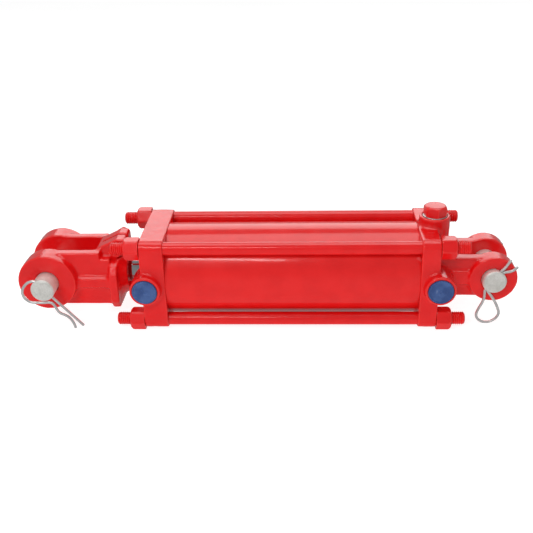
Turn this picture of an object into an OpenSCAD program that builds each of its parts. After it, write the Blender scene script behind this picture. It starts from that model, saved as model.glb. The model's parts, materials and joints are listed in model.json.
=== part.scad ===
// Tie-rod hydraulic cylinder with a clevis at each end, closed (rod fully in).
// Millimetres, +Z up. The origin is the centre of the base clevis pin, +X runs
// from the rod end to the base end, so the rod moves out towards -X.

/* [Barrel and rod] */
// Bore of the barrel
bore_d = 88.9; // [86:0.1:90]
// Outer diameter of the barrel
barrel_d = 101.6; // [99:0.1:102]
// Diameter of the chromed rod
rod_d = 31.75; // [30:0.05:32]
// Working stroke
stroke = 203.2; // [150:0.1:400]

/* [End blocks] */
// Side of the square end blocks
block_w = 104; // [102:0.5:108]
// Thickness of the rod-end head
head_t = 26; // [25:0.5:30]
// Thickness of the base-end cap
cap_t = 20; // [18:0.5:24]
// From the base clevis pin to the outer face of the cap
base_reach = 60.5; // [60:0.5:66]

/* [Tie rods] */
// Distance between tie rods along a side of the square
tie_pitch = 85.1; // [84:0.1:87]
// Diameter of a tie rod
tie_d = 14.3; // [12.7:0.1:14.3]
// Nut size across its flats
nut_af = 22.2; // [20:0.1:22.5]
// Height of a tie-rod nut
nut_h = 16.5; // [12:0.5:17]
// Thread standing out past each nut
stud_out = 14.5; // [8:0.5:15]

/* [Ports] */
// Outer diameter of a port boss
boss_d = 33.4; // [31:0.1:34]
// From the cylinder's axis to the face of a port boss
boss_reach = 62; // [58:0.5:64]
// Bore of a port, at the crests of its thread
port_d = 17.5; // [16:0.1:18]

/* [Clevises] */
// Diameter of both clevis pins
pin_d = 25.4; // [24:0.1:26]
// Length of the pin in the rod clevis
rod_pin_len = 106.4; // [106:0.1:110]
// Length of the pin in the base clevis
base_pin_len = 101.6; // [101:0.1:104]
// Radius of an eye of the rod clevis
rod_eye_r = 31.8; // [30:0.1:32]
// Gap between the arms of the rod clevis
rod_gap = 34; // [33:0.5:34]
// Width of the rod clevis over its eyes
rod_clevis_w = 80; // [76:0.5:80]
// From the rod clevis pin to the end of its hub
rod_clevis_len = 87; // [87:0.5:92]
// Radius of an eye of the base clevis
base_eye_r = 25.75; // [25:0.25:27]
// Gap between the ears of the base clevis
base_gap = 31.75; // [30:0.25:32]
// Width of the base clevis over its eyes
base_clevis_w = 68.75; // [67:0.25:69]

/* [Pin clips] */
// Wire diameter of the spring clips
wire_d = 3; // [2:0.1:3]
// Cross hole through each end of a clevis pin
clip_hole_d = 7; // [7:0.1:7.4]
// From the end of a pin to its cross hole
clip_inset = 5.5; // [5:0.1:6]

/* [Hidden] */
$fn = 96;

red = "#d82a24";
steel = "#b9bab4";
chrome = "#d9dde0";
zinc = "#a9a797";
rubber = "#1c1c1e";
nylon = "#3a3f46";
blue = "#2f4f93";

// Small clearances
slide_gap = 0.05;
face_gap = 0.3;
pin_gap = 0.09;

// Stations along the cylinder's axis
piston_len = 43.7;
head_pilot = 14;
cap_pilot = 12;
rod_showing = 20;
cap_out = -base_reach;
cap_in = cap_out - cap_t;
barrel_len = stroke + piston_len + head_pilot + cap_pilot + 2 * face_gap;
head_in = cap_in - barrel_len;
head_out = head_in - head_t;
hub_end = head_out - rod_showing;
rod_pin_x = hub_end - rod_clevis_len;
piston_base = cap_in - cap_pilot - face_gap;
piston_front = piston_base - piston_len;

bore_r = bore_d / 2;
rod_r = rod_d / 2;
pin_r = pin_d / 2;
tie_r = tie_d / 2;
corner_r = (block_w - tie_pitch) / 2;
boss_r = boss_d / 2;

// Ports
head_port_x = head_out + 5.2;
cap_port_x = cap_out + 0.2;
top_port_x = cap_out - 1.6;
head_port_end = 31;
cap_port_end = 21;
cap_boss_end = 10;
spot_r = 14.3;
spot_depth = 1.6;
seat_r = 10.4;
seat_depth = 6.6;
passage_r = 3.5;
passage_y = -35;
chamber_r = 23;
chamber_end = cap_out + 7.5;

// Gland in the head, and the static seals on both pilots
wiper_r = 21.4;
wiper_len = 6.4;
rod_seal_r = 22.2;
rod_seal_x = head_out + 10;
rod_seal_len = 9;
bushing_r = 19.2;
bushing_x = head_out + 22.5;
bushing_len = 14;
static_groove_r = 41.6;
head_groove_x = head_in + 4;
cap_groove_x = cap_in - 10;
backup_len = 2.8;
oring_len = 4;
static_groove_len = backup_len + oring_len + 0.2;

// Threaded ends of the rod
rod_thread_r = 14.25;
stub_r = 11.1;
piston_nut_af = 33.3;
piston_nut_h = 14;
stub_end = piston_base + piston_nut_h + 2.8;

// Piston grooves, measured from its front face
seal_at = 16.85;
seal_len = 10;
seal_groove_r = 38.2;
wear_front_at = 5;
wear_back_at = 32.7;
wear_len = 6;
wear_groove_r = 41.4;
seal_ring_r = 41.25;
oring_groove_at = 20;
oring_groove_len = 3.2;
oring_groove_r = stub_r + 2.6;

// Rod clevis, measured from its pin
throat_x = 52.5;
arm_top = 30;
arm_out_top = 28;
arm_out_low = 29;
band_out = 34;
collar_x = 68;
collar_len = 9;
collar_y = 36;
collar_z = 36;
cone_r = 32;
cone_len = 9;
hub_r = 25.5;
lug_y = 16.5;
slit_w = 2.4;
slit_x = 57;
clamp_x = 76;
clamp_z = 30.5;
clamp_r = 4.75;
clamp_spot_r = 10;
clamp_af = 14.3;
clamp_head_h = 6.4;
clamp_nut_h = 8;
washer_t = 2.2;

// Base clevis, measured from its pin
base_throat = -34;
neck_z = 22.7;
neck_y = 28;
rib_y = 32;
rib_low = -7;
rib_high = 8;

// Clevis pins: the rod pin sits towards -Y, the base pin towards +Y
rod_pin_near = -59;
base_pin_near = -41.7;
pin_chamfer = 1.6;
rod_clip_turn = -49.5;
base_clip_turn = 56;
base_far_clip_turn = 0;
wire_r = wire_d / 2;
wire_sides = 8;

// ---- helpers -----------------------------------------------------------------

// Places children at x with their own z axis along +X
module on_x(x) {
    translate([x, 0, 0]) rotate([0, 90, 0]) children();
}

// A plain round bar along X
module bar_x(x0, x1, r) {
    on_x(x0) cylinder(h = x1 - x0, r = r);
}

// A plain ring along X
module ring_x(x0, x1, outer, inner) {
    on_x(x0) rotate_extrude() translate([inner, 0]) square([outer - inner, x1 - x0]);
}

// A bar along its own z axis with both ends chamfered
module chamfered_bar(len, r, c) {
    rotate_extrude() polygon([[0, 0], [r - c, 0], [r, c], [r, len - c], [r - c, len], [0, len]]);
}

// The four tie-rod places, numbered 1 to 4
function tie_y(i) = (i == 1 || i == 2 ? -1 : 1) * tie_pitch / 2;
function tie_z(i) = (i == 1 || i == 3 ? 1 : -1) * tie_pitch / 2;

module at_tie(i) {
    translate([0, tie_y(i), tie_z(i)]) children();
}

// A square plate with rounded corners, from x0 to x1
module block(x0, x1) {
    t = x1 - x0;
    flat = block_w - 2 * corner_r;
    translate([x0, -block_w / 2, -flat / 2]) cube([t, block_w, flat]);
    translate([x0, -flat / 2, -block_w / 2]) cube([t, flat, block_w]);
    for (i = [1:4]) at_tie(i) bar_x(x0, x1, corner_r);
}

// Holes through a block for the tie rods
module tie_holes(x0, x1) {
    for (i = [1:4]) at_tie(i) bar_x(x0 - 1, x1 + 1, tie_r + 0.35);
}

// A hexagon nut or head, z from 0 to h, flats facing +Z and -Z of the part after on_x
module hex(af, h, chamfer) {
    corner = af / 2 / cos(30);
    intersection() {
        cylinder(h = h, r = corner, $fn = 6);
        rotate_extrude() polygon([
            [0, 0], [corner + 0.1, 0], [corner + 0.1, h - chamfer],
            [corner - 1.7 * chamfer, h], [0, h]
        ]);
    }
}

// Port boss, and what is cut from it, pointing along -Y from the axis
module boss_y(x, depth) {
    translate([x, -boss_reach, 0]) rotate([-90, 0, 0]) cylinder(h = boss_reach - depth, r = boss_r);
}

module port_y(x, depth) {
    translate([x, -boss_reach - 1, 0]) rotate([-90, 0, 0]) {
        cylinder(h = boss_reach + 1 - depth, r = port_d / 2);
        cylinder(h = seat_depth + 1, r = seat_r);
        cylinder(h = spot_depth + 1, r = spot_r);
    }
}

// ---- barrel, blocks and tie rods ---------------------------------------------

module barrel_tube() {
    color(red) ring_x(head_in, cap_in, barrel_d / 2, bore_r);
}

module static_groove(x0) {
    ring_x(x0, x0 + static_groove_len, bore_r + 1, static_groove_r);
}

module rod_end_head() {
    color(red) difference() {
        union() {
            block(head_out, head_in);
            bar_x(head_in - 1, head_in + head_pilot, bore_r - slide_gap);
            boss_y(head_port_x, head_port_end - 3);
        }
        tie_holes(head_out - 12, head_in);
        port_y(head_port_x, head_port_end);
        translate([0, passage_y, 0]) bar_x(head_port_x, head_in + head_pilot + 1, passage_r);
        bar_x(head_out - 1, head_in + head_pilot + 1, rod_r + 0.3);
        bar_x(head_out - 1, head_out + wiper_len, wiper_r);
        bar_x(rod_seal_x, rod_seal_x + rod_seal_len, rod_seal_r);
        bar_x(bushing_x, bushing_x + bushing_len, bushing_r);
        static_groove(head_groove_x);
    }
}

// One side profile of the base clevis: neck and eye, seen along Y
module base_ear_profile() {
    translate([cap_out - 1, -neck_z]) square([base_reach + 1, 2 * neck_z]);
    circle(r = base_eye_r);
}

module along_y(y0, y1) {
    translate([0, y1, 0]) rotate([90, 0, 0]) linear_extrude(height = y1 - y0) children();
}

module base_clevis() {
    difference() {
        union() {
            along_y(-neck_y, neck_y) base_ear_profile();
            along_y(-base_clevis_w / 2, base_clevis_w / 2) circle(r = base_eye_r);
            translate([cap_out - 1, -rib_y, rib_low]) cube([base_reach + 1, 2 * rib_y, rib_high - rib_low]);
        }
        translate([base_throat, -base_gap / 2, -50]) cube([100, base_gap, 100]);
        along_y(-50, 50) circle(r = pin_r + pin_gap);
    }
}

module base_end_cap() {
    pilot_end = cap_in - cap_pilot;
    color(red) difference() {
        union() {
            block(cap_in, cap_out);
            bar_x(pilot_end, cap_in + 1, bore_r - slide_gap);
            base_clevis();
            boss_y(cap_port_x, cap_boss_end);
            rotate([-90, 0, 0]) boss_y(top_port_x, cap_boss_end);
        }
        tie_holes(cap_in, cap_out + 12);
        port_y(cap_port_x, cap_port_end);
        rotate([-90, 0, 0]) port_y(top_port_x, cap_port_end);
        bar_x(pilot_end - 1, chamber_end, chamber_r);
        static_groove(cap_groove_x);
    }
}

module tie_rod(i) {
    x0 = head_out - nut_h - stud_out;
    x1 = cap_out + nut_h + stud_out;
    color(red) at_tie(i) on_x(x0) chamfered_bar(x1 - x0, tie_r, 1.2);
}

// Nut with its washer face towards +X; side is 1 at the base end, -1 at the rod end
module tie_nut(i, side) {
    face = side > 0 ? cap_out : head_out;
    color(red) at_tie(i) translate([face, 0, 0]) rotate([0, side * 90, 0]) rotate([0, 0, 30])
        difference() {
            hex(nut_af, nut_h, 3);
            translate([0, 0, -1]) cylinder(h = nut_h + 2, r = tie_r + slide_gap);
        }
}

// ---- plugs and static seals --------------------------------------------------

// Push-in plug for a port: round flange, and a hollow shank that grips the port's seat
module push_plug(x) {
    flange_r = 13.5;
    flange_t = 2.6;
    shank_r = seat_r - 0.3;
    shank_len = 4.4;
    wall = 1.6;
    floor_y = -boss_reach + spot_depth - 0.2;
    color(blue) translate([x, floor_y, 0]) rotate([90, 0, 0]) rotate_extrude() polygon([
        [0, flange_t], [flange_r - 1.1, flange_t], [flange_r, flange_t - 1.1], [flange_r, 0],
        [shank_r, 0], [shank_r, 1 - shank_len], [shank_r - 1, -shank_len],
        [shank_r - wall, -shank_len], [shank_r - wall, 0.8], [0, 0.8]
    ]);
}

module at_top_port() {
    translate([top_port_x, 0, boss_reach - spot_depth]) children();
}

module top_port_seal() {
    color(steel) at_top_port() rotate_extrude() translate([port_d / 2 + 0.1, 0]) square([4.4, 2]);
}

module top_port_plug() {
    shank_r = port_d / 2 - slide_gap;
    color(red) at_top_port() {
        translate([0, 0, 2]) rotate([0, 0, 8]) hex(nut_af + 0.6, 11, 2.6);
        translate([0, 0, -16]) cylinder(h = 18.5, r = shank_r);
    }
}

// A ring in a pilot's groove: the O-ring and its backup ring sit side by side
module pilot_ring(x0, len) {
    ring_x(x0, x0 + len, bore_r - 0.02, static_groove_r + 0.02);
}

module head_oring() {
    color(rubber) pilot_ring(head_groove_x + backup_len + 0.15, oring_len);
}

module head_backup_ring() {
    color(nylon) pilot_ring(head_groove_x + 0.05, backup_len);
}

module cap_oring() {
    color(rubber) pilot_ring(cap_groove_x + 0.05, oring_len);
}

module cap_backup_ring() {
    color(nylon) pilot_ring(cap_groove_x + oring_len + 0.15, backup_len);
}

// ---- gland -------------------------------------------------------------------

module rod_wiper() {
    x1 = head_out + wiper_len - 0.1;
    color(rubber) on_x(head_out - 1.2) rotate_extrude() polygon([
        [rod_r + slide_gap, 0], [rod_r + 1.2, 0], [rod_r + 3.6, 1.6], [wiper_r - 0.05, 1.6],
        [wiper_r - 0.05, x1 - head_out + 1.2], [rod_r + 1.4, x1 - head_out + 1.2],
        [rod_r + 1.4, 3], [rod_r + slide_gap, 1.2]
    ]);
}

module rod_seal() {
    color(rubber) ring_x(rod_seal_x + 0.1, rod_seal_x + rod_seal_len - 0.1, rod_seal_r - 0.02, rod_r + slide_gap);
}

module rod_bushing() {
    color(nylon) ring_x(bushing_x + 0.1, bushing_x + bushing_len - 0.1, bushing_r - 0.02, rod_r + slide_gap);
}

// ---- rod and piston ----------------------------------------------------------

module piston_rod() {
    thread_end = rod_pin_x + throat_x + 3;
    color(chrome) on_x(thread_end) rotate_extrude() polygon([
        [0, 0], [rod_thread_r - 1.5, 0], [rod_thread_r, 1.5], [rod_thread_r, hub_end - thread_end],
        [rod_r, hub_end - thread_end], [rod_r, piston_front - thread_end],
        [stub_r, piston_front - thread_end], [stub_r, stub_end - thread_end - 1],
        [stub_r - 1, stub_end - thread_end], [0, stub_end - thread_end]
    ]);
}

module piston() {
    outer = bore_r - 0.09;
    color(steel) difference() {
        on_x(piston_front) rotate_extrude() polygon([
            [stub_r + slide_gap, 0], [outer - 1.5, 0], [outer, 1.5],
            [outer, piston_len - 1.5], [outer - 1.5, piston_len], [stub_r + slide_gap, piston_len]
        ]);
        ring_x(piston_front + seal_at, piston_front + seal_at + seal_len, bore_r + 1, seal_groove_r);
        for (at = [wear_front_at, wear_back_at])
            ring_x(piston_front + at, piston_front + at + wear_len, bore_r + 1, wear_groove_r);
        oring_x = piston_front + oring_groove_at;
        bar_x(oring_x, oring_x + oring_groove_len, oring_groove_r);
    }
}

module piston_nut() {
    color(steel) on_x(piston_base) difference() {
        hex(piston_nut_af, piston_nut_h, 2);
        translate([0, 0, -1]) cylinder(h = piston_nut_h + 2, r = stub_r + slide_gap);
    }
}

module rod_piston_oring() {
    x0 = piston_front + oring_groove_at + 0.1;
    color(rubber) ring_x(x0, x0 + oring_groove_len - 0.2, oring_groove_r - 0.1, stub_r + slide_gap);
}

// Rings carried in the piston's grooves: they follow its slide but not its turning
module piston_ring(at, len, inner, outer) {
    ring_x(piston_front + at + 0.15, piston_front + at + len - 0.15, outer, inner);
}

module piston_seal() {
    color(rubber) piston_ring(seal_at, seal_len, seal_ring_r + 0.05, bore_r - 0.04);
}

module piston_energizer() {
    color(rubber) piston_ring(seal_at + 2, seal_len - 4, seal_groove_r + 0.1, seal_ring_r - 0.05);
}

module piston_wear_ring(at) {
    color(nylon) piston_ring(at, wear_len, wear_groove_r + 0.1, bore_r - 0.04);
}

// ---- rod clevis --------------------------------------------------------------

// Section of one arm, seen along X, on the +Y side
module arm_section() {
    polygon([
        [rod_gap / 2 - 1, -rod_eye_r], [arm_out_low, -rod_eye_r], [arm_out_low, -11],
        [band_out, -9], [band_out, 1], [arm_out_low - 1, 4], [arm_out_top, arm_top],
        [rod_gap / 2 - 1, arm_top]
    ]);
}

// Extrudes a y-z outline from x0 to x1
module along_x(x0, x1) {
    translate([x0, 0, 0]) rotate([90, 0, 90]) linear_extrude(height = x1 - x0) children();
}

module hub_section() {
    polygon([
        [-collar_y, 6], [-30, 15], [-lug_y, 20], [lug_y, 20], [30, 15], [collar_y, 6],
        [collar_y, -26], [29, -collar_z], [-29, -collar_z], [-collar_y, -26]
    ]);
}

module rod_clevis_solid() {
    along_y(-rod_clevis_w / 2, rod_clevis_w / 2) circle(r = rod_eye_r);
    for (side = [0, 1]) mirror([0, side, 0]) {
        along_x(0, 58) arm_section();
        along_x(57.9, collar_x + 1) intersection() {
            arm_section();
            translate([0, -50]) square([50, 72]);
        }
    }
    along_x(collar_x, collar_x + collar_len) hub_section();
    translate([throat_x - 1, -27, -rod_eye_r]) cube([collar_x - throat_x + 2, 54, rod_eye_r + 20]);
    on_x(collar_x + collar_len - 0.5) cylinder(h = cone_len, r1 = cone_r, r2 = hub_r);
    bar_x(collar_x, rod_clevis_len, hub_r);
    along_y(-lug_y, lug_y) polygon([
        [throat_x, 15], [throat_x, arm_top], [76.5, 41.5], [84, 41.5], [86, 38], [87, 15]
    ]);
}

module rod_clevis() {
    color(red) translate([rod_pin_x, 0, 0]) difference() {
        rod_clevis_solid();
        translate([-60, -rod_gap / 2, -50]) cube([60 + throat_x, rod_gap, 100]);
        along_y(-50, 50) circle(r = pin_r + pin_gap);
        bar_x(throat_x - 1, rod_clevis_len + 1, rod_thread_r + slide_gap);
        translate([slit_x, -slit_w / 2, 5]) cube([60, slit_w, 50]);
        translate([clamp_x, 0, clamp_z]) {
            along_y(-30, 30) circle(r = clamp_r + 0.25);
            along_y(-50, -lug_y) circle(r = clamp_spot_r);
            along_y(lug_y, 50) circle(r = clamp_spot_r);
        }
    }
}

module at_clamp() {
    translate([rod_pin_x + clamp_x, 0, clamp_z]) children();
}

module clamp_bolt() {
    reach = lug_y + washer_t + clamp_nut_h + 3;
    color(red) at_clamp() {
        translate([0, -lug_y, 0]) rotate([90, 0, 0]) hex(clamp_af, clamp_head_h, 1.2);
        translate([0, -lug_y, 0]) rotate([-90, 0, 0]) chamfered_bar(lug_y + reach, clamp_r, 0.8);
    }
}

module clamp_washer() {
    color(red) at_clamp() translate([0, lug_y, 0]) rotate([-90, 0, 0]) difference() {
        cylinder(h = washer_t, r = 8.2);
        translate([0, 0, -1]) cylinder(h = 5, r = clamp_r + 0.3);
    }
}

module clamp_nut() {
    color(red) at_clamp() translate([0, lug_y + washer_t, 0]) rotate([-90, 0, 0]) difference() {
        hex(clamp_af, clamp_nut_h, 1.2);
        translate([0, 0, -1]) cylinder(h = clamp_nut_h + 2, r = clamp_r + slide_gap);
    }
}

// ---- clevis pins and their clips ---------------------------------------------

// Cross hole of a pin along the direction turn in the x-z plane
module clip_hole(y, turn) {
    translate([0, y, 0]) rotate([0, -turn, 0]) bar_x(-pin_r - 1, pin_r + 1, clip_hole_d / 2);
}

// Pin along Y from its near end, with a cross hole at each end
module clevis_pin(x, near, len, near_turn, far_turn) {
    color(zinc) translate([x, near, 0]) difference() {
        rotate([-90, 0, 0]) chamfered_bar(len, pin_r, pin_chamfer);
        clip_hole(clip_inset, near_turn);
        clip_hole(len - clip_inset, far_turn);
    }
}

// Smooth curve through points, with steps pieces between each pair
function curve_at(p0, p1, p2, p3, t) =
    0.5 * (2 * p1 + (p2 - p0) * t + (2 * p0 - 5 * p1 + 4 * p2 - p3) * t * t
    + (3 * p1 - p0 - 3 * p2 + p3) * t * t * t);

function smooth(points, steps) = let (n = len(points)) [
    for (i = [0:n - 2]) for (k = [0:steps - 1])
        curve_at(points[max(i - 1, 0)], points[i], points[i + 1], points[min(i + 2, n - 1)], k / steps),
    points[n - 1]
];

// Wire of radius wire_r along a flat path in x-z
module wire(path) {
    n = len(path);
    s = wire_sides;
    function way(i) = let (d = path[min(i + 1, n - 1)] - path[max(i - 1, 0)]) d / norm(d);
    rings = [for (i = [0:n - 1]) let (d = way(i)) for (k = [0:s - 1])
        [path[i][0] - d[1] * wire_r * cos(360 * k / s), wire_r * sin(360 * k / s),
         path[i][1] + d[0] * wire_r * cos(360 * k / s)]];
    sides = [for (i = [0:n - 2]) for (k = [0:s - 1])
        [i * s + k, i * s + (k + 1) % s, (i + 1) * s + (k + 1) % s, (i + 1) * s + k]];
    caps = [[for (k = [s - 1:-1:0]) k], [for (k = [0:s - 1]) (n - 1) * s + k]];
    polyhedron(points = rings, faces = concat(sides, caps), convexity = 10);
}

// Hairpin clip: a straight leg through the pin, a round eye, and a waved leg beside the pin
hairpin = concat(
    [[59.3, 0], [40, 0], [20, 0], [0, 0]],
    smooth([[-11, -0.1], [-14, -2], [-15.8, -5.8], [-16.2, -10.8], [-15, -16.4], [-12, -21], [-7.4, -23.8],
        [-2.6, -24.1], [1.6, -22.8], [5, -19.9], [8.4, -16.1], [11.7, -12.2], [14.6, -8.4], [17.6, -5.9],
        [21.4, -5.8], [26, -7.4], [29.4, -8.3], [33, -8], [37, -6.3], [41, -5.1], [45.5, -5],
        [50.6, -6.4], [55.8, -8.9]], 3)
);

// Bow clip: both legs through the pin side by side, spread beyond it, with a drop-shaped bow
bow = smooth([[28.6, 0.9], [19, 0.3], [13.5, 1], [8, 1.2], [0, 1.2], [-12.7, 1.2], [-17.6, -1.4], [-22, -4.4],
    [-28, -6.6], [-35, -7.9], [-42, -9.9], [-46, -14], [-46.9, -19.7], [-44.9, -25], [-41, -28.8],
    [-34.8, -31], [-28.4, -29.8], [-23.8, -24.6], [-19.5, -17.2], [-16, -9.4], [-14.2, -4.4],
    [-12.2, -1.95], [0, -1.95], [8, -1.95], [12, -2], [14.6, -3.4], [17.2, -6.3], [20.5, -8.6], [26, -10.2]], 3);

module clip(x, y, turn, path) {
    color(chrome) translate([x, y, 0]) rotate([0, -turn, 0]) wire(path);
}

function near_hole(near) = near + clip_inset;
function far_hole(near, len) = near + len - clip_inset;

// ---- the assembly ------------------------------------------------------------

barrel_tube();
rod_end_head();
base_end_cap();
for (i = [1:4]) {
    tie_rod(i);
    tie_nut(i, -1);
    tie_nut(i, 1);
}
push_plug(head_port_x);  // rod_port_plug
push_plug(cap_port_x);  // base_port_plug
top_port_plug();
top_port_seal();
head_oring();
head_backup_ring();
cap_oring();
cap_backup_ring();
rod_wiper();
rod_seal();
rod_bushing();
piston_rod();
piston();
piston_nut();
rod_piston_oring();
piston_seal();
piston_energizer();
piston_wear_ring(wear_front_at);  // piston_wear_ring_rod_side
piston_wear_ring(wear_back_at);  // piston_wear_ring_base_side
rod_clevis();
clamp_bolt();
clamp_nut();
clamp_washer();
clevis_pin(rod_pin_x, rod_pin_near, rod_pin_len, rod_clip_turn, rod_clip_turn);  // rod_pin
clevis_pin(0, base_pin_near, base_pin_len, base_clip_turn, base_far_clip_turn);  // base_pin
clip(rod_pin_x, near_hole(rod_pin_near), rod_clip_turn, hairpin);  // rod_near_clip
clip(rod_pin_x, far_hole(rod_pin_near, rod_pin_len), rod_clip_turn, hairpin);  // rod_far_clip
clip(0, near_hole(base_pin_near), base_clip_turn, bow);  // base_near_clip
clip(0, far_hole(base_pin_near, base_pin_len), base_far_clip_turn, bow);  // base_far_clip
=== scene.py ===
"""The looks of a red tie-rod hydraulic cylinder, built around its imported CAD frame."""

import json
import math

import bpy
import numpy as np
from mathutils import Matrix, Vector


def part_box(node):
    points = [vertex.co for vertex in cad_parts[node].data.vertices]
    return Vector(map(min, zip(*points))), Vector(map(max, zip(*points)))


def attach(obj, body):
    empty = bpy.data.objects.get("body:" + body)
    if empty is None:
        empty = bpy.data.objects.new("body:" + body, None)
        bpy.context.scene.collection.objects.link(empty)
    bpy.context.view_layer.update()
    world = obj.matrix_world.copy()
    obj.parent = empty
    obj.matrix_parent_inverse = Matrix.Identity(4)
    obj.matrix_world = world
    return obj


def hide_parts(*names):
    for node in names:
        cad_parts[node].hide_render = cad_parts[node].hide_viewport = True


MM = 0.001
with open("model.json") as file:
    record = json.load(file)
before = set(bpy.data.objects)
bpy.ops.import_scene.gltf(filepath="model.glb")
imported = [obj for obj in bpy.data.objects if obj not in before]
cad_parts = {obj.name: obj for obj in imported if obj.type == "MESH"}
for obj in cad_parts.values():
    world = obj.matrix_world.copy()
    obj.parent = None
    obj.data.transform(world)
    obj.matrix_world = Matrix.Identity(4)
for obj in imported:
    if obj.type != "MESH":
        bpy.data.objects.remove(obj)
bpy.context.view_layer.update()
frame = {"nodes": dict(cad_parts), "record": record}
nodes = frame["nodes"]
body_of_node = {n: b for b, names in frame["record"]["behaviour"]["bodies"].items() for n in names}


# ---- where things are, from the frame -----------------------------------------------


def low(node):
    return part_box(node)[0]


def high(node):
    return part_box(node)[1]


def middle(node):
    return (low(node) + high(node)) / 2


HEAD_IN, CAP_IN = low("barrel_tube").x, high("barrel_tube").x
HEAD_OUT, CAP_OUT = high("rod_end_nut_1").x, low("base_end_nut_1").x
BARREL_R = high("barrel_tube").y
ROD_PIN = middle("rod_pin")
PIN_R = (high("rod_pin").x - low("rod_pin").x) / 2
TIE_R = (high("tie_rod_1").z - low("tie_rod_1").z) / 2
NUT_H = high("base_end_nut_1").x - low("base_end_nut_1").x
HUB_END = high("rod_clevis").x
BOSS_FACE = -62 * MM
HEAD_PORT_X = middle("rod_port_plug").x
CAP_PORT_X = middle("base_port_plug").x
TOP_PORT_X = middle("top_port_seal").x

# Sizes in millimetres that no box of the frame shows, as the CAD solids have them
BORE_R = 44.45
NUT_AF = 22.2
ROD_R = 15.875
ROD_THREAD_R = 14.25
STUB_R = 11.1
TIE_HOLE_R = 7.5
EYE_BORE_R = 12.79
PORT_R, HEAD_PORT_DEPTH, CAP_PORT_DEPTH = 8.75, 31, 41
SEAT_R, SEAT_DEPTH = 10.4, 6.6
SPOT_R, SPOT_DEPTH = 14.3, 1.6
CHAMBER_R = 23
WIPER_R, ROD_SEAL_R, BUSHING_R = 21.4, 22.2, 19.2
BASE_EAR_IN, BASE_EAR_OUT = 15.875, 34.375
ROD_ARM_IN, ROD_ARM_OUT = 17, 40
LUG_Y = 16.5
CLAMP_R, CLAMP_SPOT_R = 4.75, 10
CLIP_HOLE_R, CLIP_INSET = 3.5, 5.5

# Degrees that the clips and their cross holes are turned about the pins
ROD_CLIP_TURN = -49.5
BASE_CLIP_TURN = 56
BASE_FAR_CLIP_TURN = 0

# A filler stays this far inside the faces around it
INSIDE = 0.01 * MM

# Local z of a turned shape along one of the frame's axes
ALONG_X = Matrix(((0, 0, 1, 0), (0, 1, 0, 0), (-1, 0, 0, 0), (0, 0, 0, 1)))
AGAINST_X = Matrix(((0, 0, -1, 0), (0, 1, 0, 0), (1, 0, 0, 0), (0, 0, 0, 1)))
ALONG_Y = Matrix(((1, 0, 0, 0), (0, 0, 1, 0), (0, -1, 0, 0), (0, 0, 0, 1)))
AGAINST_Y = Matrix(((1, 0, 0, 0), (0, 0, -1, 0), (0, 1, 0, 0), (0, 0, 0, 1)))
ALONG_Z = Matrix.Identity(4)


def at(x, y, z, axes=ALONG_Z):
    return Matrix.Translation((x, y, z)) @ axes


# ---- camera -------------------------------------------------------------------------


def add_camera():
    yaw, pitch, roll = (math.radians(a) for a in (-3.02, 26.49, -1.52))
    ahead = Vector((math.sin(yaw) * math.cos(pitch), math.cos(yaw) * math.cos(pitch), -math.sin(pitch)))
    right = Vector((math.cos(yaw), -math.sin(yaw), 0))
    up = right.cross(ahead)
    side = right * math.cos(roll) + up * math.sin(roll)
    top = up * math.cos(roll) - right * math.sin(roll)
    turn = Matrix((side, top, -ahead)).transposed().to_4x4()
    data = bpy.data.cameras.new("camera")
    data.lens = 53.92
    data.clip_end = 20
    camera = bpy.data.objects.new("camera", data)
    camera.matrix_world = Matrix.Translation((-0.2040, -0.8070, 0.4026)) @ turn
    bpy.context.scene.collection.objects.link(camera)
    bpy.context.scene.camera = camera


# ---- materials ----------------------------------------------------------------------


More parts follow.
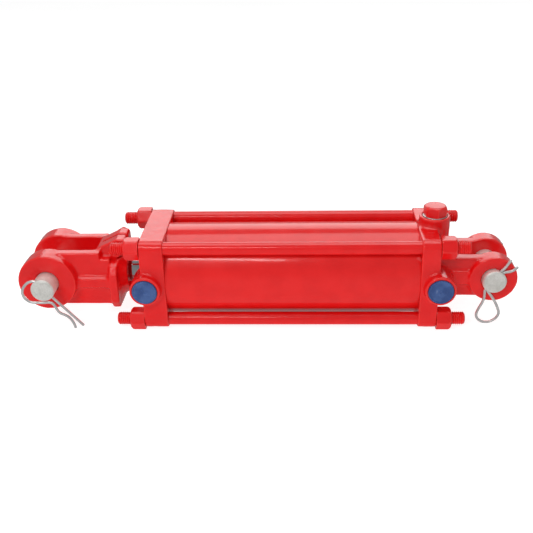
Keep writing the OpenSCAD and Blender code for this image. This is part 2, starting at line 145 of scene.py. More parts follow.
class Shader:
    """A Principled material, and short ways to add what feeds it."""

    def __init__(self, name, **sockets):
        self.material = bpy.data.materials.new(name)
        self.material.use_nodes = True
        self.tree = self.material.node_tree
        self.surface = self.tree.nodes["Principled BSDF"]
        for socket, value in sockets.items():
            self.set(self.surface, socket.replace("_", " "), value)
        self.place = self.add("ShaderNodeTexCoord").outputs["Object"]
        self.height = None

    def add(self, kind, **settings):
        node = self.tree.nodes.new(kind)
        for key, value in settings.items():
            setattr(node, key, value)
        return node

    def set(self, node, socket, value):
        if isinstance(value, bpy.types.NodeSocket):
            self.tree.links.new(value, node.inputs[socket])
        else:
            node.inputs[socket].default_value = value

    def noise(self, scale, detail=2.0, roughness=0.5, stretch=(1, 1, 1), distortion=0.0):
        """Noise with scale features to the metre, between 0 and 1."""
        mapping = self.add("ShaderNodeMapping")
        self.set(mapping, "Vector", self.place)
        self.set(mapping, "Scale", stretch)
        node = self.add("ShaderNodeTexNoise")
        self.set(node, "Vector", mapping.outputs[0])
        self.set(node, "Scale", scale)
        self.set(node, "Detail", detail)
        self.set(node, "Roughness", roughness)
        self.set(node, "Distortion", distortion)
        return node.outputs[0]

    def ramp(self, value, low, high, to_low=0.0, to_high=1.0):
        node = self.add("ShaderNodeMapRange", interpolation_type="SMOOTHSTEP")
        self.set(node, "Value", value)
        self.set(node, "From Min", low)
        self.set(node, "From Max", high)
        self.set(node, "To Min", to_low)
        self.set(node, "To Max", to_high)
        return node.outputs[0]

    def math(self, operation, a, b):
        node = self.add("ShaderNodeMath", operation=operation)
        self.set(node, 0, a)
        self.set(node, 1, b)
        return node.outputs[0]

    def mix(self, share, a, b):
        node = self.add("ShaderNodeMix", data_type="RGBA")
        self.set(node, "Factor", share)
        self.set(node, 6, a)
        self.set(node, 7, b)
        return node.outputs[2]

    def color(self, value):
        self.set(self.surface, "Base Color", value)

    def roughness(self, value):
        self.set(self.surface, "Roughness", value)

    def pointiness(self):
        return self.add("ShaderNodeNewGeometry").outputs["Pointiness"]

    def bump(self, value, depth_mm):
        """Adds relief of depth_mm millimetres on top of what is there."""
        node = self.add("ShaderNodeBump")
        self.set(node, "Strength", 1.0)
        self.set(node, "Distance", depth_mm * MM)
        self.set(node, "Height", value)
        if self.height is not None:
            self.set(node, "Normal", self.height)
        self.height = node.outputs[0]
        self.set(self.surface, "Normal", self.height)


RED_DEEP = (0.735, 0.004, 0.005, 1)
RED_FULL = (0.800, 0.007, 0.008, 1)
# Lighter red laid on convex edges: a painted highlight
RED_PAINTED_HIGHLIGHT = (0.880, 0.045, 0.038, 1)


def red_enamel(name, grain_mm, wear):
    """Gloss red enamel: orange peel, lighter red on convex edges as a painted highlight; grain_mm is the
    casting's grain.
    """
    s = Shader(name, Coat_Weight=0.45, Coat_Roughness=0.04, Coat_IOR=1.5, IOR=1.5)
    cloud = s.ramp(s.noise(45, 3), 0.30, 0.70)
    body = s.mix(cloud, RED_DEEP, RED_FULL)
    # Convex edges get a lighter red: a painted highlight, not a paint colour
    painted_edge_highlight = s.ramp(s.pointiness(), 0.505, 0.56, 0.0, 0.7)
    body = s.mix(painted_edge_highlight, body, RED_PAINTED_HIGHLIGHT)
    speck = s.ramp(s.noise(900, 1), 0.74 - wear, 0.78 - wear)
    rubbed = s.math("MULTIPLY", speck, s.ramp(s.pointiness(), 0.53, 0.60))
    s.color(s.mix(rubbed, body, (0.32, 0.26, 0.24, 1)))
    s.roughness(s.ramp(s.noise(130, 4), 0.30, 0.72, 0.16, 0.22))
    s.bump(s.noise(420, 1), 0.018)
    if grain_mm:
        s.bump(s.noise(950, 4, 0.6), grain_mm)
        s.bump(s.noise(210, 2), grain_mm * 1.6)
    return s.material


def blue_plastic():
    s = Shader("blue_plastic", IOR=1.48)
    cloud = s.ramp(s.noise(90, 3), 0.35, 0.65)
    body = s.mix(cloud, (0.026, 0.066, 0.215, 1), (0.050, 0.110, 0.300, 1))
    scuff = s.ramp(s.noise(520, 5, 0.7, (1.0, 1.0, 0.28), 1.2), 0.60, 0.74, 0.0, 0.42)
    # Convex edges get a lighter blue: a painted highlight
    painted_edge_highlight = s.ramp(s.pointiness(), 0.51, 0.58, 0.0, 0.5)
    body = s.mix(scuff, body, (0.34, 0.40, 0.56, 1))
    s.color(s.mix(painted_edge_highlight, body, (0.075, 0.16, 0.46, 1)))
    s.roughness(s.ramp(scuff, 0.0, 0.42, 0.34, 0.62))
    s.bump(s.noise(1400, 2), 0.03)
    s.bump(scuff, 0.03)
    return s.material


def metal(name, dark, light, rough, streaks, stretch, grain_mm=0.012, metallic=1.0):
    """Bare or plated metal with streaks along the way it was worked."""
    s = Shader(name, Metallic=metallic)
    cloud = s.ramp(s.noise(70, 4), 0.32, 0.68)
    line = s.noise(streaks, 3, 0.6, stretch)
    body = s.mix(cloud, (*dark, 1), (*light, 1))
    s.color(s.mix(s.ramp(line, 0.35, 0.75, 0.0, 0.35), body, (*(0.75 * c for c in dark), 1)))
    s.roughness(s.ramp(line, 0.30, 0.70, rough * 0.8, rough * 1.35))
    s.bump(line, grain_mm)
    return s.material


def dark_polymer(name, shade, rough):
    s = Shader(name)
    cloud = s.ramp(s.noise(160, 4), 0.3, 0.7)
    s.color(s.mix(cloud, (shade, shade, shade * 1.1, 1), (shade * 2, shade * 2, shade * 2.2, 1)))
    s.roughness(s.ramp(cloud, 0.0, 1.0, rough, rough + 0.15))
    s.bump(s.noise(1800, 3), 0.02)
    return s.material


MATERIALS = {
    "red_tube": red_enamel("red_tube", 0.0, 0.0),
    "red_casting": red_enamel("red_casting", 0.10, 0.04),
    "red_tie_rod": red_enamel("red_tie_rod", 0.0, 0.06),
    "red_fastener": red_enamel("red_fastener", 0.02, 0.08),
    "blue_plastic": blue_plastic(),
    "bright_steel": metal("bright_steel", (0.55, 0.55, 0.53), (0.75, 0.75, 0.73), 0.20, 500, (1, 1, 1)),
    "hard_chrome": metal("hard_chrome", (0.50, 0.51, 0.53), (0.66, 0.67, 0.69), 0.08, 900, (6, 1, 1), 0.003),
    "machined_steel": metal("machined_steel", (0.30, 0.30, 0.30), (0.46, 0.46, 0.45), 0.30, 700, (6, 1, 1)),
    "zinc_plate": metal(
        "zinc_plate", (0.72, 0.71, 0.66), (0.90, 0.89, 0.85), 0.42, 420, (1, 5, 1), 0.02, metallic=0.5
    ),
    "spring_wire": metal(
        "spring_wire", (0.70, 0.70, 0.70), (0.92, 0.92, 0.91), 0.16, 300, (1, 1, 1), metallic=0.65
    ),
    "seal_rubber": dark_polymer("seal_rubber", 0.012, 0.45),
    "dark_nylon": dark_polymer("dark_nylon", 0.035, 0.40),
}


# ---- building pieces ----------------------------------------------------------------


def to_object(name, points, faces, place=ALONG_Z):
    mesh = bpy.data.meshes.new(name)
    mesh.from_pydata(np.asarray(points).tolist(), [], faces)
    mesh.transform(place)
    mesh.update()
    piece = bpy.data.objects.new(name, mesh)
    bpy.context.scene.collection.objects.link(piece)
    return piece


def finish_piece(piece, node, slot, sharp=38):
    """Gives a piece its material and its body, and hides the CAD node that it stands for."""
    mesh = piece.data
    mesh.shade_smooth()
    mesh.set_sharp_from_angle(angle=math.radians(sharp))
    mesh.materials.clear()
    mesh.materials.append(MATERIALS[slot])
    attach(piece, body_of_node[node])
    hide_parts(node)
    return piece


def skin(rings, closed=False):
    """Quads from ring to ring. The two ends are capped, or joined if the rings are closed."""
    n, m = rings.shape[:2]
    i = np.arange(n if closed else n - 1)[:, None]
    k = np.arange(m)[None, :]
    after, across = (i + 1) % n, (k + 1) % m
    quads = np.stack([i * m + k, i * m + across, after * m + across, after * m + k], -1)
    faces = quads.reshape(-1, 4).tolist()
    if not closed:
        faces += [list(range(m))[::-1], list(range((n - 1) * m, n * m))]
    return rings.reshape(-1, 3), faces


def revolve(stations, radius, segments):
    """Rings along z. radius is one number per station, or a function of angle and station."""
    angle = np.linspace(0, 2 * np.pi, segments, endpoint=False)[None, :]
    z = np.asarray(stations, float)[:, None]
    r = radius(angle, z) if callable(radius) else np.asarray(radius, float)[:, None] + 0 * angle
    return np.stack([r * np.cos(angle), r * np.sin(angle), z + 0 * angle], -1)


def soften(outline, size):
    """The outline with its inner corners rounded, each over at most size."""
    points = [np.array(p, float) for p in outline]
    shares = np.linspace(0, 1, 5)
    out = [points[0]]
    for a, b, c in zip(points, points[1:], points[2:]):
        u, v = a - b, c - b
        reach = min(size, 0.45 * np.linalg.norm(u), 0.45 * np.linalg.norm(v))
        p, q = b + u / np.linalg.norm(u) * reach, b + v / np.linalg.norm(v) * reach
        out += [(1 - t) ** 2 * p + 2 * t * (1 - t) * b + t * t * q for t in shares]
    return np.array(out + [points[-1]])


def turned(name, outline, place, segments=96, size=0.5, closed=False):
    """A turned solid from (z, r) points in millimetres, its corners softened."""
    if closed:
        outline = [*outline, outline[0], outline[1]]
    z, r = soften(outline, size).T * MM
    if closed:
        z, r = z[1:-1], r[1:-1]
    points, faces = skin(revolve(z, r, segments), closed)
    return to_object(name, points, faces, place)


def join_into(target, others):
    """Adds other meshes to a target's mesh."""
    with bpy.context.temp_override(
        active_object=target, selected_editable_objects=[target, *others], selected_objects=[target, *others]
    ):
        bpy.ops.object.join()
    return target


def modified(piece, kind, **settings):
    """Applies one modifier to a piece's mesh."""
    modifier = piece.modifiers.new("step", kind)
    for key, value in settings.items():
        setattr(modifier, key, value)
    shape = bpy.data.meshes.new_from_object(piece.evaluated_get(bpy.context.evaluated_depsgraph_get()))
    piece.modifiers.clear()
    old, piece.data = piece.data, shape
    bpy.data.meshes.remove(old)
    return piece


def carve(piece, cutters):
    """Cuts machined holes, one after another."""
    for cutter in cutters:
        modified(piece, "BOOLEAN", object=cutter, operation="DIFFERENCE", solver="MANIFOLD")
        bpy.data.objects.remove(cutter)
    return piece


def rod_of(r, x, y, z, length, axes, segments=96):
    """A plain cutting or filling bar, from a point along an axis."""
    points, faces = skin(revolve([0, length * MM], [r * MM, r * MM], segments))
    return to_object("bar", points, faces, at(x, y, z, axes))


# ---- castings -----------------------------------------------------------------------

VOXEL = 0.85 * MM
FILL_STEPS, ROUND_STEPS = 46, 7
WAVE_DEPTH, WAVES = 0.10 * MM, 28


def smoothed(piece):
    """Fills inner corners with fillets first, then rounds everything, as a sand casting is."""
    mesh = piece.data
    count = len(mesh.vertices)
    co = np.empty(count * 3)
    mesh.vertices.foreach_get("co", co)
    co = co.reshape(-1, 3)
    edges = np.empty(len(mesh.edges) * 2, int)
    mesh.edges.foreach_get("vertices", edges)
    a, b = edges.reshape(-1, 2).T
    degree = np.bincount(a, minlength=count) + np.bincount(b, minlength=count)
    normal = np.empty(count * 3)
    for step in range(FILL_STEPS + ROUND_STEPS):
        if step % 8 == 0:
            mesh.vertices.foreach_set("co", co.ravel())
            mesh.update()
            mesh.vertices.foreach_get("normal", normal)
        total = [np.bincount(a, co[b, k], count) + np.bincount(b, co[a, k], count) for k in range(3)]
        pull = np.stack(total, 1) / degree[:, None] - co
        if step < FILL_STEPS:
            hollow = np.einsum("ij,ij->i", pull, normal.reshape(-1, 3)) > 0
            co += 0.6 * pull * hollow[:, None]
        else:
            co += 0.5 * pull
    co += cast_waves(co) * normal.reshape(-1, 3)
    mesh.vertices.foreach_set("co", co.ravel())
    mesh.update()
    return piece


def cast_waves(co):
    """Slow unevenness of a cast skin."""
    random = np.random.default_rng(7)
    total = np.zeros(len(co))
    for _ in range(WAVES):
        way = random.normal(size=3)
        way *= 2 * np.pi / (random.uniform(6, 30) * MM) / np.linalg.norm(way)
        total += np.sin(co @ way + random.uniform(0, 6.28))
    return (WAVE_DEPTH * total / math.sqrt(WAVES))[:, None]


def casting(node, fillers, cutters):
    """A CAD node's own solid, its holes filled, turned into a casting and drilled again."""
    piece = bpy.data.objects.new(node + "_cast", nodes[node].data.copy())
    bpy.context.scene.collection.objects.link(piece)
    join_into(piece, fillers)
    modified(piece, "REMESH", mode="VOXEL", voxel_size=VOXEL, adaptivity=0.0)
    smoothed(piece)
    carve(piece, cutters)
    return finish_piece(piece, node, "red_casting")


def tie_places():
    return [middle(f"tie_rod_{i}") for i in range(1, 5)]


def tie_bars(r, x0, x1):
    return [rod_of(r, x0, p.y, p.z, (x1 - x0) / MM, ALONG_X, 48) for p in tie_places()]


def port_tools(x, bore_depth, axes):
    """Filler for a port's mouth, and the cutters of its spot face, seat and bore."""

    def tool(r, depth, extra=3):
        if axes is AGAINST_Y:
            return rod_of(r, x, BOSS_FACE + depth * MM, 0, depth + extra, AGAINST_Y)
        return rod_of(r, x, 0, -BOSS_FACE - depth * MM, depth + extra, ALONG_Z)

    filler = tool(SPOT_R + 0.9, bore_depth + 2, extra=-0.02)
    return filler, [tool(SPOT_R, SPOT_DEPTH), tool(SEAT_R, SEAT_DEPTH), tool(PORT_R, bore_depth)]


def tie_tools(x0, x1):
    """Fillers for the four tie-rod holes of a block, and their cutters."""
    fillers = tie_bars(TIE_HOLE_R + 1, x0 + INSIDE, x1 - INSIDE)
    return fillers, tie_bars(TIE_HOLE_R, x0 - 3 * MM, x1 + 3 * MM)


def build_head():
    """Rod-end head: its port, and the stepped bore of the rod's gland."""
    filler, port = port_tools(HEAD_PORT_X, HEAD_PORT_DEPTH, AGAINST_Y)
    ties, tie_cuts = tie_tools(HEAD_OUT, HEAD_IN)
    t = (HEAD_IN - HEAD_OUT) / MM
    gland = rod_of(ROD_SEAL_R + 0.3, HEAD_OUT + INSIDE, 0, 0, t + 13.9, ALONG_X)
    bores = [
        rod_of(ROD_R + 0.325, HEAD_OUT - 2 * MM, 0, 0, t + 20, ALONG_X),
        rod_of(WIPER_R, HEAD_OUT - 2 * MM, 0, 0, 8.4, ALONG_X),
        rod_of(ROD_SEAL_R, HEAD_OUT + 10 * MM, 0, 0, 9, ALONG_X),
        rod_of(BUSHING_R, HEAD_OUT + 22.5 * MM, 0, 0, 14, ALONG_X),
    ]
    casting("rod_end_head", [filler, gland, *ties], [*bores, *port, *tie_cuts])


def ear_tools(inner, outer, x):
    """Fillers for a clevis's two eyes, and the cutters of their common bore and its mouths."""
    wide = outer - inner
    filler_r = EYE_BORE_R + 2.41
    eyes = [
        rod_of(filler_r, x, -outer * MM + INSIDE, 0, wide - 0.02, ALONG_Y),
        rod_of(filler_r, x, inner * MM + INSIDE, 0, wide - 0.02, ALONG_Y),
    ]
    mouth = [(0, 0.05), (0, 14.4), (1.6, 12.8), (1.6, 0.05)]
    outside = outer * MM + 0.04 * MM
    cuts = [
        rod_of(EYE_BORE_R, x, -45 * MM, 0, 90, ALONG_Y, 128),
        turned("bar", mouth, at(x, -outside, 0, ALONG_Y), 128, 0.01),
        turned("bar", mouth, at(x, outside, 0, AGAINST_Y), 128, 0.01),
    ]
    return eyes, cuts


def build_cap():
    """Base-end cap: two ports, the oil chamber and the eyes of the base clevis."""
    front, front_cuts = port_tools(CAP_PORT_X, CAP_PORT_DEPTH, AGAINST_Y)
    top, top_cuts = port_tools(TOP_PORT_X, CAP_PORT_DEPTH, ALONG_Z)
    ties, tie_cuts = tie_tools(CAP_IN, CAP_OUT)
    eyes, bores = ear_tools(BASE_EAR_IN, BASE_EAR_OUT, 0)
    pilot = rod_of(CHAMBER_R + 1, CAP_IN - 11.9 * MM, 0, 0, 38, ALONG_X)
    chamber = rod_of(CHAMBER_R, CAP_IN - 14 * MM, 0, 0, 41.5, ALONG_X)
    cuts = [*bores, chamber, *front_cuts, *top_cuts, *tie_cuts]
    casting("base_end_cap", [front, top, pilot, *eyes, *ties], cuts)


def build_clevis():
    """Rod clevis: eyes, rod thread, and the slit with its clamp bolt hole and spot faces."""
    x = ROD_PIN.x
    eyes, bores = ear_tools(ROD_ARM_IN, ROD_ARM_OUT, x)
    hub = (HUB_END - x) / MM
    thread = rod_of(ROD_THREAD_R + 0.95, x + 52.6 * MM, 0, 0, hub - 52.7, ALONG_X)
    clamp = middle("clamp_bolt")
    clamp_fill = rod_of(6, clamp.x, -16.4 * MM, clamp.z, 32.8, ALONG_Y, 48)
    slit_fill = [box_bar(x, 56.5, 68, 1.6, 12, 31), box_bar(x, 67.9, 85.5, 1.6, 12, 37)]
    cuts = [
        *bores,
        rod_of(ROD_THREAD_R + 0.05, x + 50 * MM, 0, 0, 50, ALONG_X),
        rod_of(CLAMP_R + 0.25, clamp.x, -30 * MM, clamp.z, 60, ALONG_Y, 48),
        box_bar(x, 57, 100, 1.2, 5, 50),
        rod_of(CLAMP_SPOT_R, clamp.x, LUG_Y * MM, clamp.z, 24, ALONG_Y),
        rod_of(CLAMP_SPOT_R, clamp.x, -LUG_Y * MM, clamp.z, 24, AGAINST_Y),
    ]
    casting("rod_clevis", [*eyes, thread, clamp_fill, *slit_fill], cuts)


def box_bar(x, near, far, half_y, z0, z1):
    """A box across the x-z plane, from near to far millimetres past x."""
    ends, sides, levels = (x + near * MM, x + far * MM), (-half_y * MM, half_y * MM), (z0 * MM, z1 * MM)
    corners = [(a, b, c) for a in ends for b in sides for c in levels]
    faces = [(0, 1, 3, 2), (4, 6, 7, 5), (0, 4, 5, 1), (2, 3, 7, 6), (0, 2, 6, 4), (1, 5, 7, 3)]
    return to_object("bar", corners, faces)


# ---- tube, tie rods and fasteners ---------------------------------------------------


def helix(pitch, root, depth, lead):
    """Radius of a screw thread, rounded as under paint, fading in over lead at z = 0."""

    def radius(angle, z):
        phase = z / pitch - angle / (2 * np.pi)
        ridge = (0.5 - 0.5 * np.cos(2 * np.pi * phase)) ** 0.8
        start = root - 0.9 * MM + np.clip(z / lead, 0, 1) * (depth + 0.9 * MM)
        return np.minimum(root + depth * ridge, start)

    return radius


def hexagon(angle, half_flat, turn, sharpness):
    """Radius of a hexagon with slightly rounded corners."""
    total = 0
    for k in range(6):
        total = total + np.clip(np.cos(angle - turn - k * math.pi / 3), 0, 1) ** sharpness
    return half_flat / total ** (1 / sharpness)


def soft_min(a, b, width):
    """The smaller of two radii, with the corner between them rounded over width."""
    gap = np.clip(0.5 + 0.5 * (b - a) / width, 0, 1)
    return b * (1 - gap) + a * gap - width * gap * (1 - gap)


def hex_body(half_flat, height, dome, top_r, turn, bore=None):
    """Rings of a nut or bolt head: flats, a domed chamfer on top and a small one below."""
    domed = height - dome * (1 - np.sin(np.linspace(0.1, 1, 12) * np.pi / 2))
    z = np.concatenate([[0, 0.25, 0.6], np.linspace(1.2, height - dome, 6), domed])
    corner = half_flat / math.cos(math.pi / 6)

    def radius(angle, station):
        flat = hexagon(angle, half_flat, turn, 34)
        up = np.clip((station - (height - dome)) / dome, 0, 1)
        cap = top_r + (corner + 0.4 - top_r) * np.sqrt(np.clip(1 - up**2, 0, 1))
        foot = corner - 0.9 + np.clip(station, 0, 1.2) * 1.6
        return soft_min(soft_min(flat, cap, 0.5), foot, 0.3)

    rings = revolve(z, radius, 120)
    if bore:
        inner = revolve([height, 0], [bore, bore], 120)
        rings = np.concatenate([rings, inner])
    return rings * MM


def build_tie_rod(i):
    """A plain bar with a screw thread on the stretch past each nut."""
    node = f"tie_rod_{i}"
    start, end, centre = low(node).x, high(node).x, middle(node)
    length = end - start
    pitch, depth = 2.1 * MM, 0.95 * MM
    exposed = HEAD_OUT - NUT_H - start + 2 * MM
    thread = helix(pitch, TIE_R - depth, depth, 1.6 * MM)
    fine = np.arange(0, exposed, pitch / 11)
    plain = np.linspace(exposed + 1 * MM, length - exposed - 1 * MM, 14)
    stations = np.concatenate([fine, plain, length - fine[::-1]])

    def radius(angle, z):
        near = thread(angle, z)
        far = thread(-angle + i, length - z)
        return np.where(z < exposed, near, np.where(z > length - exposed, far, TIE_R))

    points, faces = skin(revolve(stations, radius, 72))
    place = at(start, centre.y, centre.z, ALONG_X) @ Matrix.Rotation(i * 1.3, 4, "Z")
    finish_piece(to_object(node + "_bar", points, faces, place), node, "red_tie_rod", 60)


def build_tie_nut(node, axes, face):
    centre = middle(node)
    points, faces = skin(hex_body(NUT_AF / 2, NUT_H / MM, 5.6, 8.0, 0, 7.2), closed=True)
    place = at(face, centre.y, centre.z, axes)
    finish_piece(to_object(node + "_hex", points, faces, place), node, "red_fastener", 50)


def build_barrel():
    length = (CAP_IN - HEAD_IN) / MM
    r = BARREL_R / MM
    outline = [(0, BORE_R), (0, r), (length, r), (length, BORE_R)]
    piece = turned("barrel_tube_skin", outline, at(HEAD_IN, 0, 0, ALONG_X), 256, 0.5, closed=True)
    finish_piece(piece, "barrel_tube", "red_tube")


# ---- plugs --------------------------------------------------------------------------


def build_push_plug(node, x):
    """Flange with a knurled rim and a dished face, and a hollow shank."""
    shank_len, shank_r, rim_r, ribs = 4.4, 10.1, 13.4, 32
    outline = soften(
        [
            (-shank_len, 8.5), (-shank_len, shank_r), (0, shank_r), (0, rim_r), (2.6, 13.3), (2.7, 12.2),
            (2.25, 11.6), (2.2, 6.0), (2.35, 5.4), (2.4, 1.6), (1.9, 1.2), (1.9, 0.05),
        ],
        0.5,
    )
    z, r = outline.T * MM

    def radius(angle, _):
        base = r[:, None] + 0 * angle
        knurl = 0.16 * MM * np.cos(ribs * angle) * (base > 12.6 * MM)
        return base + knurl

    points, faces = skin(revolve(z, radius, 192))
    foot = high(node).y - shank_len * MM
    piece = to_object(node + "_moulded", points, faces, at(x, foot, 0, AGAINST_Y))
    finish_piece(piece, node, "blue_plastic", 50)


def build_top_plug():
    """Domed hexagon plug in the top port, and the sealing ring under it."""
    x, base = TOP_PORT_X, low("top_port_seal").z
    seal_t = high("top_port_seal").z - base
    hexed = hex_body(NUT_AF / 2 + 0.3, 11, 4.6, 8.6, math.radians(8))
    shank = revolve(np.array([-16.0, -15.2, -0.2]) * MM, np.array([7.6, 8.7, 8.7]) * MM, 120)
    points, faces = skin(np.concatenate([shank, hexed]))
    piece = to_object("top_port_plug_hex", points, faces, at(x, 0, base + seal_t))
    finish_piece(piece, "top_port_plug", "red_fastener", 50)
    section = [(0, 8.9), (0, 13.2), (2.0, 13.2), (2.0, 8.9)]
    ring = turned("top_port_seal_ring", section, at(x, 0, base), 128, 0.9, True)
    finish_piece(ring, "top_port_seal", "bright_steel")


# ---- rod, clamp and pins ------------------------------------------------------------


def build_rod():
    """Screw thread in the clevis, the ground bar, and the stub that carries the piston."""
    start, end = low("piston_rod").x, high("piston_rod").x
    front = low("piston").x
    thread = HUB_END - start
    pitch, cut, modelled = 2.1 * MM, 0.9 * MM, 12 * MM
    screw = helix(pitch, ROD_THREAD_R * MM - cut, cut, 1.5 * MM)
    fine = np.arange(0, modelled, pitch / 10)
    shoulder = [thread - 0.2 * MM, thread, thread + 0.6 * MM]
    bar = np.linspace(thread + 4 * MM, front - start, 12)
    stub = [front - start + 0.01 * MM, end - start - 1 * MM, end - start]
    z = np.concatenate([fine, shoulder, bar, stub])
    thread_r = np.full(len(fine) + 1, ROD_THREAD_R)
    plain = np.concatenate([thread_r, [15.3, ROD_R], np.full(12, ROD_R), [STUB_R, STUB_R, STUB_R - 1]]) * MM

    def radius(angle, station):
        r = plain[:, None] + 0 * angle
        return np.where(station < modelled, screw(angle, station), r)

    points, faces = skin(revolve(z, radius, 96))
    piece = to_object("piston_rod_bar", points, faces, at(start, 0, 0, ALONG_X))
    finish_piece(piece, "piston_rod", "hard_chrome", 50)


def build_clamp():
    """Bolt, nut and split washer through the lugs of the rod clevis."""
    bolt, nut, washer = middle("clamp_bolt"), middle("clamp_nut"), middle("clamp_washer")
    half_flat, head_h, nut_h = 7.15, 6.4, 8
    head = hex_body(half_flat, head_h, 1.8, 6.2, 0)[::-1] * np.array([1, 1, -1])
    lug_side = -LUG_Y * MM
    length = high("clamp_bolt").y - lug_side
    pitch, thread_len = 1.6 * MM, 16 * MM
    z = np.concatenate([[0.1 * MM, 20 * MM], np.arange(length - thread_len, length, pitch / 9)])
    screw = helix(pitch, 4.1 * MM, 0.62 * MM, 1.2 * MM)
    shank = revolve(z, lambda angle, s: np.where(s < 21 * MM, CLAMP_R * MM, screw(angle, length - s)), 120)
    points, faces = skin(np.concatenate([head, shank]))
    piece = to_object("clamp_bolt_hex", points, faces, at(bolt.x, lug_side, bolt.z, ALONG_Y))
    finish_piece(piece, "clamp_bolt", "red_fastener", 50)
    points, faces = skin(hex_body(half_flat, nut_h, 1.8, 6.0, 0, 4.8), closed=True)
    piece = to_object("clamp_nut_hex", points, faces, at(nut.x, low("clamp_nut").y, nut.z, ALONG_Y))
    finish_piece(piece, "clamp_nut", "red_fastener", 50)
    inner, outer, thick, rise = 5.1, 8.1, 1.5, 0.35
    turn = np.linspace(math.radians(4), math.radians(352), 90)[:, None]
    r = np.array([[inner, outer, outer, inner]])
    lift = np.array([[0, 0, thick, thick]]) + 0.25 + rise * turn / 6.28
    rings = np.stack([r * np.cos(turn), r * np.sin(turn), lift], -1) * MM
    points, faces = skin(rings)
    place = at(washer.x, low("clamp_washer").y, washer.z, ALONG_Y)
    finish_piece(to_object("clamp_washer_split", points, faces, place), "clamp_washer", "red_fastener", 40)


def build_pin(node, near_turn, far_turn):
    """A chamfered pin with a cross hole at each end."""
    centre, start, end = middle(node), low(node).y, high(node).y
    length = (end - start) / MM
    r, bevel = PIN_R / MM, 1.6
    outline = [
        (0, 0.05), (0, r - bevel), (bevel, r),
        (length - bevel, r), (length, r - bevel), (length, 0.05),
    ]
    piece = turned(node + "_bar", outline, at(centre.x, start, 0, ALONG_Y), 128, 0.5)
    holes = []
    for y, turn in ((start + CLIP_INSET * MM, near_turn), (end - CLIP_INSET * MM, far_turn)):
        hole = rod_of(CLIP_HOLE_R, 0, 0, -20 * MM, 40, ALONG_Z, 40)
        hole.data.transform(at(centre.x, y, 0) @ Matrix.Rotation(-math.radians(turn), 4, "Y") @ ALONG_X)
        holes.append(hole)
    carve(piece, holes)
    finish_piece(piece, node, "zinc_plate", 30)


def curve(points, steps):
    """A smooth curve through points, with steps pieces between each pair."""
    p = np.array(points, float)
    out = []
    for i in range(len(p) - 1):
        a, b, c, d = p[max(i - 1, 0)], p[i], p[i + 1], p[min(i + 2, len(p) - 1)]
        for t in np.arange(steps) / steps:
            rising = 2 * b + (c - a) * t
            bending = (2 * a - 5 * b + 4 * c - d) * t**2 + (3 * b - a - 3 * c + d) * t**3
            out.append(0.5 * (rising + bending))
    return np.array(out + [p[-1]])


# Wire paths of the clips, in millimetres from the pin's axis along the leg and across it
HAIRPIN_LEG = [(59.3, 0), (40, 0), (20, 0), (0, 0)]
HAIRPIN_EYE = [
    (-11, -0.1), (-14, -2), (-15.8, -5.8), (-16.2, -10.8), (-15, -16.4), (-12, -21), (-7.4, -23.8),
    (-2.6, -24.1), (1.6, -22.8),
]
HAIRPIN_WAVE = [
    (5, -19.9), (8.4, -16.1), (11.7, -12.2), (14.6, -8.4), (17.6, -5.9), (21.4, -5.8), (26, -7.4),
    (29.4, -8.3), (33, -8), (37, -6.3), (41, -5.1), (45.5, -5), (50.6, -6.4), (55.8, -8.9),
]
HAIRPIN = np.concatenate([np.array(HAIRPIN_LEG), curve(HAIRPIN_EYE + HAIRPIN_WAVE, 8)])
BOW_UPPER_LEG = [(28.6, 0.9), (19, 0.3), (13.5, 1), (8, 1.2), (0, 1.2), (-12.7, 1.2)]
BOW_LOOP = [
    (-17.6, -1.4), (-22, -4.4), (-28, -6.6), (-35, -7.9), (-42, -9.9), (-46, -14), (-46.9, -19.7),
    (-44.9, -25), (-41, -28.8), (-34.8, -31), (-28.4, -29.8), (-23.8, -24.6), (-19.5, -17.2), (-16, -9.4),
    (-14.2, -4.4),
]
BOW_LOWER_LEG = [
    (-12.2, -1.95), (0, -1.95), (8, -1.95), (12, -2), (14.6, -3.4), (17.2, -6.3), (20.5, -8.6), (26, -10.2),
]
BOW = curve(BOW_UPPER_LEG + BOW_LOOP + BOW_LOWER_LEG, 8)


def build_clip(node, path, turn):
    """A round wire along a flat path, with rounded ends."""
    r = (high(node).y - low(node).y) / 2
    centre = ROD_PIN.x if node.startswith("rod") else 0.0
    p = path * MM
    way = np.gradient(p, axis=0)
    way /= np.linalg.norm(way, axis=1)[:, None]
    across = np.stack([-way[:, 1], way[:, 0]], 1)
    first, last = way[:1] * r, way[-1:] * r
    start_cap = [p[:1] - first * 0.6, p[:1] - first * 0.35]
    p = np.concatenate([*start_cap, p, p[-1:] + last * 0.35, p[-1:] + last * 0.6])
    scale = np.concatenate([[0.5, 0.85], np.ones(len(across)), [0.85, 0.5]])
    across = np.concatenate([across[:1], across[:1], across, across[-1:], across[-1:]])
    angle = np.linspace(0, 2 * np.pi, 20, endpoint=False)
    out = p[:, None, :] + (r * scale)[:, None, None] * across[:, None, :] * np.cos(angle)[None, :, None]
    y = (r * scale)[:, None] * np.sin(angle)[None, :]
    rings = np.stack([out[..., 0], y, out[..., 1]], -1)
    points, faces = skin(rings)
    place = at(centre, middle(node).y, 0) @ Matrix.Rotation(-math.radians(turn), 4, "Y")
    finish_piece(to_object(node + "_wire", points, faces, place), node, "spring_wire", 60)


# ---- stage --------------------------------------------------------------------------


def area_light(name, place, target, size, power, mirrored=True):
    data = bpy.data.lights.new(name, "AREA")
    data.shape = "RECTANGLE"
    data.size, data.size_y = size
    data.energy = power
    lamp = bpy.data.objects.new(name, data)
    way = Vector(place) - Vector(target)
    lamp.matrix_world = Matrix.Translation(place) @ way.to_track_quat("Z", "Y").to_matrix().to_4x4()
    lamp.visible_glossy = mirrored
    bpy.context.scene.collection.objects.link(lamp)


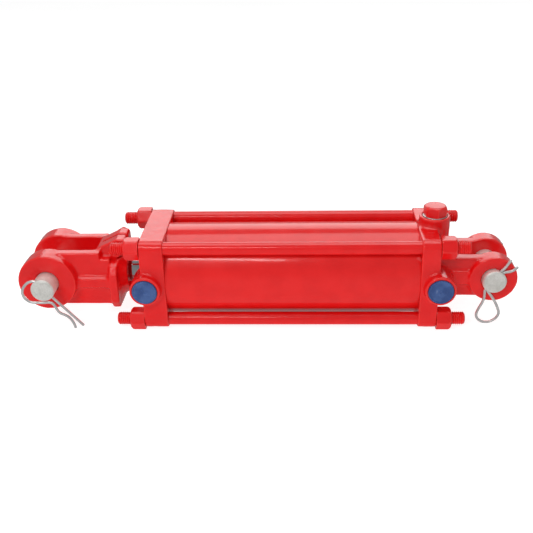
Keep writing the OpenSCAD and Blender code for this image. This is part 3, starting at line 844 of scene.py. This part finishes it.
def glowing_paper():
    """Pale paper that glows, but not under the barrel, so that the gap over the tie rods stays dark."""
    s = Shader("floor_paper", Roughness=0.9, Emission_Color=(1, 1, 1, 1))
    split = s.add("ShaderNodeSeparateXYZ")
    s.set(split, "Vector", s.place)
    half = (CAP_IN - HEAD_IN) / 2
    from_middle = s.math("ABSOLUTE", s.math("SUBTRACT", split.outputs[0], (CAP_IN + HEAD_IN) / 2), 0)
    past_ends = s.ramp(from_middle, half - 20 * MM, half - 5 * MM)
    past_sides = s.ramp(s.math("ABSOLUTE", split.outputs[1], 0), 22 * MM, 34 * MM)
    s.set(s.surface, "Emission Strength", s.math("MULTIPLY", s.math("MAXIMUM", past_ends, past_sides), 0.85))
    s.color(s.mix(s.ramp(s.noise(3, 2), 0.3, 0.7), (0.40, 0.40, 0.40, 1), (0.43, 0.43, 0.43, 1)))
    return s.material


def add_floor_and_backdrop():
    """A flat floor and a round wall behind it. Neither shows in mirror reflections."""
    floor_z, floor_half, wall_r, wall_top, sides = low("base_end_nut_2").z, 6.2, 6, 5, 60
    paper = glowing_paper()
    corners = [(x * floor_half, y * floor_half, floor_z) for x, y in ((-1, -1), (1, -1), (1, 1), (-1, 1))]
    floor = to_object("floor", corners, [(0, 1, 2, 3)])
    turn = np.radians(np.arange(sides) * 360 / sides)
    levels = (floor_z - 20 * MM, wall_top)
    wall = [(wall_r * math.cos(a), wall_r * math.sin(a), z) for z in levels for a in turn]
    panels = [(k, (k + 1) % sides, sides + (k + 1) % sides, sides + k) for k in range(sides)]
    backdrop = to_object("backdrop", wall, panels)
    backdrop.visible_diffuse = False
    for piece in (floor, backdrop):
        piece.data.materials.append(paper)
        piece.visible_glossy = False


def add_light():
    world = bpy.data.worlds.new("studio")
    world.use_nodes = True
    world.node_tree.nodes["Background"].inputs["Color"].default_value = (1, 1, 1, 1)
    world.node_tree.nodes["Background"].inputs["Strength"].default_value = 0.28
    bpy.context.scene.world = world
    target = (-0.24, 0, 0)
    area_light("overhead_soft", (-0.25, 0.15, 1.3), target, (1.6, 0.9), 8)
    area_light("back_soft", (-0.2, 1.7, 0.95), target, (2.2, 1.1), 11)
    area_light("front_key", (-0.9, -1.3, 1.1), target, (0.8, 0.8), 10, False)
    area_light("front_gleam", (-0.7, -1.2, 1.2), target, (0.9, 0.10), 2.6)
    bpy.context.scene.view_settings.view_transform = "Standard"


# ---- everything ---------------------------------------------------------------------

add_camera()
build_head()
build_cap()
build_clevis()
build_barrel()
for i in range(1, 5):
    build_tie_rod(i)
    build_tie_nut(f"rod_end_nut_{i}", AGAINST_X, HEAD_OUT)
    build_tie_nut(f"base_end_nut_{i}", ALONG_X, CAP_OUT)
build_push_plug("rod_port_plug", HEAD_PORT_X)
build_push_plug("base_port_plug", CAP_PORT_X)
build_top_plug()
build_rod()
build_clamp()
build_pin("rod_pin", ROD_CLIP_TURN, ROD_CLIP_TURN)
build_pin("base_pin", BASE_CLIP_TURN, BASE_FAR_CLIP_TURN)
build_clip("rod_near_clip", HAIRPIN, ROD_CLIP_TURN)
build_clip("rod_far_clip", HAIRPIN, ROD_CLIP_TURN)
build_clip("base_near_clip", BOW, BASE_CLIP_TURN)
build_clip("base_far_clip", BOW, BASE_FAR_CLIP_TURN)

slot_of_node = {s["node"]: s["material_slot"] for s in frame["record"]["subparts"]}
for name, node in nodes.items():
    if not node.hide_render:
        node.data.materials.clear()
        node.data.materials.append(MATERIALS[slot_of_node[name]])

add_floor_and_backdrop()
add_light()
